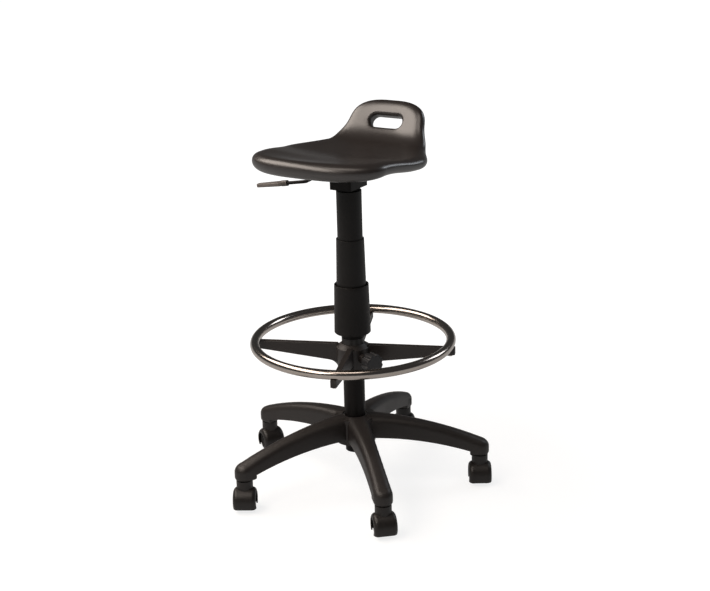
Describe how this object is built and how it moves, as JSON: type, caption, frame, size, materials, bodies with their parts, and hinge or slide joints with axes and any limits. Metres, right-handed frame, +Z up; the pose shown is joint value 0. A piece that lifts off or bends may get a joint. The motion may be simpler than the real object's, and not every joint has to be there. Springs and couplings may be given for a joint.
{
  "type": "adjustable stool",
  "caption": "Tall gas-lift work stool: moulded seat with a raised back and hand slot, lever, telescoping covers, clamped foot ring and a star base on twin-wheel casters.",
  "frame": {"origin": "on the floor, under the column's axis", "axes": "+Z up along the column, -Y the way the seat faces, -X the sitter's right hand with the lever"},
  "size_m": [0.6258, 0.6234, 0.884],
  "materials": {
    "seat_skin": "satin",
    "base_plastic": "satin",
    "cover_plastic": "satin",
    "caster_plastic": "satin",
    "wheel_plastic": "satin",
    "grip_plastic": "satin",
    "black_steel": "satin",
    "bare_steel": "satin",
    "ring_chrome": "polished",
    "bush_plastic": "satin",
    "buffer_rubber": "matte",
    "board_wood": "matte"
  },
  "bodies": {
    "base": {"star_base": "base_plastic", "hub_sleeve": "bare_steel", "column_tube": "black_steel", "guide_bush": "bush_plastic", "thrust_race_lower": "bare_steel", "thrust_balls": "bare_steel", "thrust_cage": "bush_plastic", "column_washer": "bare_steel", "cover_lower": "cover_plastic"},
    "spindle": {"piston_rod": "ring_chrome", "thrust_race_upper": "bare_steel", "rubber_buffer": "buffer_rubber", "column_clip": "bare_steel"},
    "seat": {"gas_tube": "black_steel", "seat_socket": "black_steel", "seat_plate": "black_steel", "lever_pin": "bare_steel", "seat_bolts": "bare_steel", "seat_board": "board_wood", "tee_nuts": "bare_steel", "seat_cushion": "seat_skin", "cover_upper": "cover_plastic"},
    "lever": {"lever_rod": "black_steel", "lever_grip": "grip_plastic"},
    "release": {"release_pin": "bare_steel"},
    "sleeve": {"cover_middle": "cover_plastic"},
    "ring_slider": {"ring_bush": "bush_plastic"},
    "ring": {"ring_carrier": "base_plastic", "foot_ring": "ring_chrome", "ring_screws": "bare_steel"},
    "pad": {"clamp_pad": "bush_plastic"},
    "knob": {"clamp_knob": "base_plastic", "clamp_stud": "bare_steel"},
    "caster_1": {"caster_hood_1": "caster_plastic", "caster_stem_1": "bare_steel", "caster_axle_1": "bare_steel"},
    "wheel_left_1": {"caster_wheel_left_1": "wheel_plastic"},
    "wheel_right_1": {"caster_wheel_right_1": "wheel_plastic"},
    "caster_2": {"caster_hood_2": "caster_plastic", "caster_stem_2": "bare_steel", "caster_axle_2": "bare_steel"},
    "wheel_left_2": {"caster_wheel_left_2": "wheel_plastic"},
    "wheel_right_2": {"caster_wheel_right_2": "wheel_plastic"},
    "caster_3": {"caster_hood_3": "caster_plastic", "caster_stem_3": "bare_steel", "caster_axle_3": "bare_steel"},
    "wheel_left_3": {"caster_wheel_left_3": "wheel_plastic"},
    "wheel_right_3": {"caster_wheel_right_3": "wheel_plastic"},
    "caster_4": {"caster_hood_4": "caster_plastic", "caster_stem_4": "bare_steel", "caster_axle_4": "bare_steel"},
    "wheel_left_4": {"caster_wheel_left_4": "wheel_plastic"},
    "wheel_right_4": {"caster_wheel_right_4": "wheel_plastic"},
    "caster_5": {"caster_hood_5": "caster_plastic", "caster_stem_5": "bare_steel", "caster_axle_5": "bare_steel"},
    "wheel_left_5": {"caster_wheel_left_5": "wheel_plastic"},
    "wheel_right_5": {"caster_wheel_right_5": "wheel_plastic"}
  },
  "joints": [
    {"name": "seat_swivel", "type": "hinge", "parent": "base", "child": "spindle", "pos_m": [0, 0, 0.095], "axis": [0, 0, 1], "continuous": true},
    {"name": "seat_lift", "type": "slide", "parent": "spindle", "child": "seat", "axis": [0, 0, 1], "range_m": [-0.19, 0.008]},
    {"name": "lever_lift", "type": "hinge", "parent": "seat", "child": "lever", "pos_m": [-0.034, 0, 0.757], "axis": [0, 1, 0], "range_deg": [0, 6], "stiffness_Nm_per_rad": 4, "springref_deg": -2.86},
    {"name": "release_press", "type": "slide", "parent": "seat", "child": "release", "axis": [0, 0, -1], "range_m": [0, 0.0045]},
    {"name": "sleeve_slide", "type": "slide", "parent": "base", "child": "sleeve", "axis": [0, 0, 1], "range_m": [-0.0835, 0.004]},
    {"name": "ring_slide", "type": "slide", "parent": "base", "child": "ring_slider", "axis": [0, 0, 1], "range_m": [-0.11, 0.01]},
    {"name": "ring_turn", "type": "hinge", "parent": "ring_slider", "child": "ring", "pos_m": [0, 0, 0.32], "axis": [0, 0, 1], "continuous": true},
    {"name": "pad_slide", "type": "slide", "parent": "ring", "child": "pad", "axis": [0.9135, -0.4067, 0], "range_m": [0, 0.0025]},
    {"name": "knob_turn", "type": "hinge", "parent": "pad", "child": "knob", "pos_m": [0.0585, -0.026, 0.32], "axis": [0.9135, -0.4067, 0], "range_deg": [0, 720]},
    {"name": "caster_swivel_1", "type": "hinge", "parent": "base", "child": "caster_1", "pos_m": [0.26736, 0.12467, 0.09], "axis": [0, 0, 1], "continuous": true},
    {"name": "wheel_left_spin_1", "type": "hinge", "parent": "caster_1", "child": "wheel_left_1", "pos_m": [0.26994, 0.12039, 0.025], "axis": [0.8572, 0.515, 0], "continuous": true},
    {"name": "wheel_right_spin_1", "type": "hinge", "parent": "caster_1", "child": "wheel_right_1", "pos_m": [0.26994, 0.12039, 0.025], "axis": [0.8572, 0.515, 0], "continuous": true},
    {"name": "caster_swivel_2", "type": "hinge", "parent": "base", "child": "caster_2", "pos_m": [-0.03595, 0.2928, 0.09], "axis": [0, 0, 1], "continuous": true},
    {"name": "wheel_left_spin_2", "type": "hinge", "parent": "caster_2", "child": "wheel_left_2", "pos_m": [-0.03242, 0.28927, 0.025], "axis": [0.7071, 0.7071, 0], "continuous": true},
    {"name": "wheel_right_spin_2", "type": "hinge", "parent": "caster_2", "child": "wheel_right_2", "pos_m": [-0.03242, 0.28927, 0.025], "axis": [0.7071, 0.7071, 0], "continuous": true},
    {"name": "caster_swivel_3", "type": "hinge", "parent": "base", "child": "caster_3", "pos_m": [-0.28958, 0.05629, 0.09], "axis": [0, 0, 1], "continuous": true},
    {"name": "wheel_left_spin_3", "type": "hinge", "parent": "caster_3", "child": "wheel_left_3", "pos_m": [-0.28534, 0.05364, 0.025], "axis": [0.5299, 0.848, 0], "continuous": true},
    {"name": "wheel_right_spin_3", "type": "hinge", "parent": "caster_3", "child": "wheel_right_3", "pos_m": [-0.28534, 0.05364, 0.025], "axis": [0.5299, 0.848, 0], "continuous": true},
    {"name": "caster_swivel_4", "type": "hinge", "parent": "base", "child": "caster_4", "pos_m": [-0.14302, -0.25801, 0.09], "axis": [0, 0, 1], "continuous": true},
    {"name": "wheel_left_spin_4", "type": "hinge", "parent": "caster_4", "child": "wheel_left_4", "pos_m": [-0.14059, -0.26239, 0.025], "axis": [0.8746, 0.4848, 0], "continuous": true},
    {"name": "wheel_right_spin_4", "type": "hinge", "parent": "caster_4", "child": "wheel_right_4", "pos_m": [-0.14059, -0.26239, 0.025], "axis": [0.8746, 0.4848, 0], "continuous": true},
    {"name": "caster_swivel_5", "type": "hinge", "parent": "base", "child": "caster_5", "pos_m": [0.20119, -0.21575, 0.09], "axis": [0, 0, 1], "continuous": true},
    {"name": "wheel_left_spin_5", "type": "hinge", "parent": "caster_5", "child": "wheel_left_5", "pos_m": [0.20453, -0.21946, 0.025], "axis": [0.7431, 0.6691, 0], "continuous": true},
    {"name": "wheel_right_spin_5", "type": "hinge", "parent": "caster_5", "child": "wheel_right_5", "pos_m": [0.20453, -0.21946, 0.025], "axis": [0.7431, 0.6691, 0], "continuous": true}
  ],
  "couplings": [
    {"joint": "sleeve_slide", "follows": "seat_lift", "ratio": 0.437},
    {"joint": "release_press", "follows": "lever_lift", "m_per_rad": 0.0385},
    {"joint": "pad_slide", "follows": "knob_turn", "m_per_rad": 0.00019894}
  ]
}
